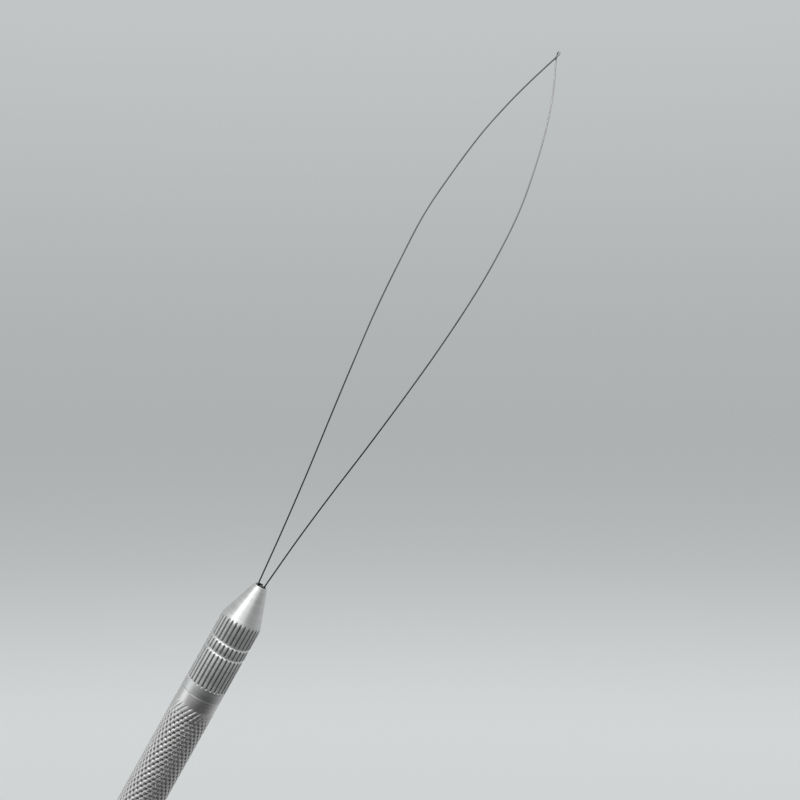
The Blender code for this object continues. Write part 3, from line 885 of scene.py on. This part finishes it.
# Wire loop. A course gives shares of the loop's length, each with a share of the strand's half width.
WIRE_RADIUS = 0.00014
LOOP_LENGTH = 0.1100
LEFT_COURSE = (
    (0.10, 0.220), (0.20, 0.375), (0.30, 0.555), (0.40, 0.730), (0.50, 0.885), (0.60, 0.970),
    (0.68, 0.995), (0.76, 0.885), (0.84, 0.710), (0.90, 0.495), (0.95, 0.265), (1.00, 0.0),
)
RIGHT_COURSE = (
    (0.10, 0.215), (0.20, 0.385), (0.30, 0.575), (0.40, 0.745), (0.50, 0.890), (0.60, 0.985),
    (0.68, 1.000), (0.76, 0.935), (0.84, 0.745), (0.90, 0.540), (0.95, 0.305), (1.00, 0.0),
)
LEFT_HALF_WIDTH = 0.00845
RIGHT_HALF_WIDTH = 0.0095
WIRE_NOSE_OFFSET = 0.00075
PAIR_OFFSET = 0.00017
WIRE_END_INSET = 0.0004
CROSSING_Z = NOSE_FACE_Z + LOOP_LENGTH
CROSSING_OFFSET = 0.00020
CROSSING_SPREAD_SHARE = 0.12
EYE_RADIUS = 0.00032
EYE_REACH = 0.00095
STRAND_STEPS = 150
EYE_STEPS = 24
WIRE_BEVEL_STEPS = 8
WIRE_ANGLE = 50


def smooth_value(table, share):
    """Reads a smooth curve through the points of a table."""
    last = len(table) - 1
    index = max(i for i in range(last) if table[i][0] <= share or i == 0)
    slopes = []
    for i in (index, index + 1):
        low, high = table[max(i - 1, 0)], table[min(i + 1, last)]
        slopes.append((high[1] - low[1]) / (high[0] - low[0]))
    (start, value), (end, next_value) = table[index], table[index + 1]
    span = end - start
    t = (share - start) / span
    return (
        value * (2 * t ** 3 - 3 * t ** 2 + 1) + slopes[0] * span * (t ** 3 - 2 * t ** 2 + t)
        + next_value * (3 * t ** 2 - 2 * t ** 3) + slopes[1] * span * (t ** 3 - t ** 2)
    )


def strand_course(course, half_width, side):
    """One strand, from its end in the sleeve to the crossing at the tip."""
    table = ((0.0, WIRE_NOSE_OFFSET / half_width),) + course
    points = [(side * PAIR_OFFSET, 0, SLEEVE_END_Z + WIRE_END_INSET), (side * PAIR_OFFSET, 0, SLEEVE_TOP_Z)]
    for step in range(STRAND_STEPS + 1):
        share = step / STRAND_STEPS
        lift = max(0, 1 - (1 - share) / CROSSING_SPREAD_SHARE)
        outward = side * half_width * smooth_value(table, share)
        points.append((outward, side * CROSSING_OFFSET * lift, NOSE_FACE_Z + LOOP_LENGTH * share))
    return points


def eye_course():
    """The turn of the wire at the tip, from the left strand round to the right."""
    tangent = math.asin(EYE_RADIUS / EYE_REACH)
    points = []
    for step in range(EYE_STEPS + 1):
        share = step / EYE_STEPS
        angle = -tangent + (math.pi + 2 * tangent) * share
        points.append((
            EYE_RADIUS * math.cos(angle), CROSSING_OFFSET * (2 * share - 1),
            CROSSING_Z + EYE_REACH + EYE_RADIUS * math.sin(angle)))
    return points


def mark_wire(wire, points):
    """Keeps on each corner its place round the wire and along it, so that the marks follow the wire."""
    # one ring of corners a point, then those of the two end faces
    course = np.array([*points, points[0], points[-1]])
    steps = np.linalg.norm(np.diff(course, axis=0), axis=1)
    along = np.concatenate(([0], np.cumsum(steps)))
    along[-2:] = along[0], along[-3]
    followed = (places(wire).reshape(len(course), -1, 3) - course[:, None, :]) / WIRE_RADIUS
    followed[..., 2] = along[:, None]
    layer = wire.data.attributes.new("drawn", "FLOAT_VECTOR", "POINT")
    layer.data.foreach_set("vector", followed.astype(np.float32).ravel())


def make_wire(material):
    """The one wire: up the left strand, round the eye and down the right strand."""
    points = strand_course(LEFT_COURSE, LEFT_HALF_WIDTH, -1) + eye_course()
    points += reversed(strand_course(RIGHT_COURSE, RIGHT_HALF_WIDTH, 1))
    curve = bpy.data.curves.new("wire_loop_drawn", "CURVE")
    curve.dimensions = "3D"
    curve.bevel_depth = WIRE_RADIUS
    curve.bevel_resolution = WIRE_BEVEL_STEPS
    curve.use_fill_caps = True
    spline = curve.splines.new("POLY")
    spline.points.add(len(points) - 1)
    for point, place in zip(spline.points, points):
        point.co = (*place, 1)
    wire = bpy.data.objects.new("wire_loop_drawn", curve)
    bpy.context.scene.collection.objects.link(wire)
    bpy.ops.object.select_all(action="DESELECT")
    wire.select_set(True)
    bpy.context.view_layer.objects.active = wire
    bpy.ops.object.convert(target="MESH")
    wire = bpy.context.object
    mark_wire(wire, points)
    bpy.ops.object.mode_set(mode="EDIT")
    weld_and_leave()
    finish_piece(wire, "loop", "wire_loop", material, WIRE_ANGLE)


# Collet
COLLET_NOSE_RADIUS = 0.00092
COLLET_NOSE_EDGE = 0.00018
COLLET_BODY_RADIUS = 0.00217
COLLET_BODY_CHAMFER = 0.0001
COLLET_SHANK_RADIUS = 0.00145
COLLET_SHANK_CHAMFER = 0.0002
COLLET_SHANK_LENGTH = 0.0055
COLLET_BORE_RADIUS = 0.00065
MOUTH_WIDENING = 0.00004
MOUTH_SINK = 0.00001
MOUTH_DEPTH = 0.00006
COLLET_SIDES = 64
COLLET_ANGLE = 30
SLOT_WIDTH = 0.00046
SLOT_LENGTH = 0.0130
BLADE_WIDTH = COLLET_BODY_RADIUS * 2.4


def cut_slot(collet, turn):
    """Saws one slot down through the jaws, across the whole width."""
    bpy.ops.mesh.primitive_cube_add(size=1, location=(0, 0, 0))
    blade = bpy.context.object
    blade.name = "slot_blade"
    bpy.ops.object.mode_set(mode="EDIT")
    bpy.ops.mesh.select_all(action="SELECT")
    bpy.ops.transform.resize(value=(BLADE_WIDTH, SLOT_WIDTH, SLOT_LENGTH * 2))
    bpy.ops.transform.rotate(value=math.radians(turn), orient_axis="Z", center_override=(0, 0, 0))
    bpy.ops.transform.translate(value=(0, 0, COLLET_TIP_Z))
    bpy.ops.object.mode_set(mode="OBJECT")
    slot = collet.modifiers.new("slot", "BOOLEAN")
    slot.operation = "DIFFERENCE"
    slot.solver = "EXACT"
    slot.object = blade
    bpy.ops.object.select_all(action="DESELECT")
    bpy.context.view_layer.objects.active = collet
    bpy.ops.object.modifier_apply(modifier="slot")
    bpy.data.objects.remove(blade, do_unlink=True)


def make_collet(material):
    """The split collet, whose four jaws close round the sleeve and stand a little out of the nose."""
    head_z = COLLET_END_Z + COLLET_SHANK_LENGTH
    outline = [(COLLET_BORE_RADIUS + MOUTH_WIDENING, COLLET_TIP_Z - MOUTH_SINK)]
    outline += quarter_turn(COLLET_NOSE_RADIUS, COLLET_TIP_Z, COLLET_NOSE_EDGE, 4, going_in=False)
    outline += [
        (COLLET_NOSE_RADIUS, INNER_CONE_TOP_Z),
        (COLLET_BODY_RADIUS, INNER_CONE_TOP_Z - INNER_CONE_LENGTH),
        (COLLET_BODY_RADIUS, head_z + COLLET_BODY_CHAMFER),
        (COLLET_BODY_RADIUS - COLLET_BODY_CHAMFER, head_z),
        (COLLET_SHANK_RADIUS, head_z),
        (COLLET_SHANK_RADIUS, COLLET_END_Z + COLLET_SHANK_CHAMFER),
        (COLLET_SHANK_RADIUS - COLLET_SHANK_CHAMFER, COLLET_END_Z),
        (COLLET_BORE_RADIUS, COLLET_END_Z),
        (COLLET_BORE_RADIUS, COLLET_TIP_Z - MOUTH_DEPTH),
    ]
    collet = turn_closed("collet_split", outline, COLLET_SIDES)
    cut_slot(collet, 0)
    cut_slot(collet, 90)
    finish_piece(collet, "collet", "collet", material, COLLET_ANGLE)


# Crimp sleeve
SLEEVE_EDGE = 0.00005
SLEEVE_BORE_RADIUS = WIRE_RADIUS + PAIR_OFFSET + 0.00006
SLEEVE_ROWS = 48
SLEEVE_SIDES = 40
SLEEVE_ANGLE = 40
DENT_PITCH = 0.0014
DENT_WIDTH = 0.00032
DENT_DEPTH = 0.00008


def make_sleeve(material):
    """The sleeve crimped round the two ends of the wire, with three pairs of dents across it."""
    top_wall_z = SLEEVE_TOP_Z - SLEEVE_EDGE
    outline = [(SLEEVE_RADIUS - SLEEVE_EDGE, SLEEVE_TOP_Z), (SLEEVE_RADIUS, top_wall_z)]
    for height in rows_between(top_wall_z, SLEEVE_END_Z + SLEEVE_EDGE, SLEEVE_ROWS):
        outline.append((SLEEVE_RADIUS, height))
    outline += [
        (SLEEVE_RADIUS - SLEEVE_EDGE, SLEEVE_END_Z),
        (SLEEVE_BORE_RADIUS, SLEEVE_END_Z),
        (SLEEVE_BORE_RADIUS, SLEEVE_TOP_Z),
    ]
    sleeve = turn_closed("crimp_sleeve_dented", outline, SLEEVE_SIDES)
    co, radius, angle = round_places(sleeve)
    middle = (SLEEVE_TOP_Z + SLEEVE_END_Z) / 2
    from_middle = co[:, 2] - middle
    dent = sum(np.exp(-((from_middle - index * DENT_PITCH) / DENT_WIDTH) ** 4) for index in (-1, 0, 1))
    outside = radius > SLEEVE_RADIUS - SLEEVE_EDGE / 2
    dent *= np.abs(np.sin(angle)) ** 3 * outside * DENT_DEPTH
    put_radii(sleeve, co, radius, radius - dent)
    finish_piece(sleeve, "loop", "crimp_sleeve", material, SLEEVE_ANGLE)


# Tail plug
PLUG_STEM_RADIUS = 0.00245
PLUG_STEM_CHAMFER = 0.00012
PLUG_EDGE = 0.00004
# the chamfer with its eased edges, each corner by how far it is in from the wall and by its height
PLUG_CHAMFER = ((0, 0.00068), (0.00002, 0.00061), (0.00058, 0.00002), (0.00066, 0.0))
# the centre mark from a close row round it to its tip, by radius and height
CENTRE_MARK = ((0.0013, 0.0), (0.0005, 0.0), (0.00002, 0.0003))
PLUG_SIDES = 96
PLUG_ANGLE = 30


def make_plug(material):
    """The plug in the tail, with the flat face that the tool stands on and a lathe's centre mark."""
    outline = [
        (PLUG_STEM_RADIUS - PLUG_STEM_CHAMFER, PLUG_TOP_Z),
        (PLUG_STEM_RADIUS, PLUG_TOP_Z - PLUG_STEM_CHAMFER),
        (PLUG_STEM_RADIUS, PLUG_HEAD_LENGTH),
    ]
    outline += quarter_turn(HANDLE_RADIUS, PLUG_HEAD_LENGTH, PLUG_EDGE, 3, going_in=False)
    outline += [(HANDLE_RADIUS - inset, height) for inset, height in PLUG_CHAMFER]
    outline += CENTRE_MARK
    plug = start_ring("tail_plug_turned", PLUG_SIDES, *outline[0])
    pull_rings(outline)
    bpy.ops.mesh.merge(type="CENTER")
    bpy.ops.mesh.select_mode(type="EDGE")
    bpy.ops.mesh.select_all(action="DESELECT")
    bpy.ops.mesh.select_non_manifold()
    bpy.ops.mesh.edge_face_add()
    bpy.ops.mesh.select_all(action="SELECT")
    bpy.ops.mesh.normals_make_consistent(inside=False)
    bpy.ops.object.mode_set(mode="OBJECT")
    finish_piece(plug, "handle", "tail_plug", material, PLUG_ANGLE)


make_camera()
make_world()
make_floor()
make_lamp("window", turn=-20, lift=36, strength=0.46, spread=76)
make_lamp("strip", turn=-42, lift=16, strength=0.12, spread=12)
make_lamp("top", turn=-55, lift=56, strength=0.66, spread=76)

# the cap and the grip darken their grooves and pits with painted shade
cap_metal = metal(
    "turned aluminium", (0.92, 0.925, 0.92), (0.76, 0.765, 0.76), roughness=0.33, marks=(140, 140, 2800),
    marks_depth=0.000026, anisotropy=0.4, groove_shade=((0.12, 0.12, 0.12), 0.75, 0.35, 0.9), cut_gloss=0.14,
    ridge_dulling=0.24)
grip_metal = metal(
    "knurled aluminium", (0.94, 0.935, 0.92), (0.80, 0.795, 0.78), roughness=0.29, marks=(260, 260, 2200),
    marks_depth=0.000008, groove_shade=((0.07, 0.065, 0.06), 0.92, 0.2, 0.6), cut_gloss=0.10)
plug_metal = metal(
    "turned tail", (0.88, 0.88, 0.875), (0.72, 0.72, 0.715), roughness=0.30, marks=(140, 140, 3400),
    marks_depth=0.000012, anisotropy=0.4)
collet_metal = metal(
    "dark hardened steel", (0.22, 0.22, 0.23), (0.13, 0.13, 0.14), roughness=0.38, marks=(700, 700, 2400),
    marks_depth=0.000006)
sleeve_metal = metal(
    "dull sleeve steel", (0.42, 0.42, 0.43), (0.30, 0.30, 0.31), roughness=0.40, marks=(2200, 2200, 900),
    marks_depth=0.000006)
wire_metal = spring_wire()

make_nose_cap(cap_metal)
make_handle(grip_metal)
make_wire(wire_metal)
make_collet(collet_metal)
make_sleeve(sleeve_metal)
make_plug(plug_metal)

scene = bpy.context.scene
scene.view_settings.view_transform = "Standard"
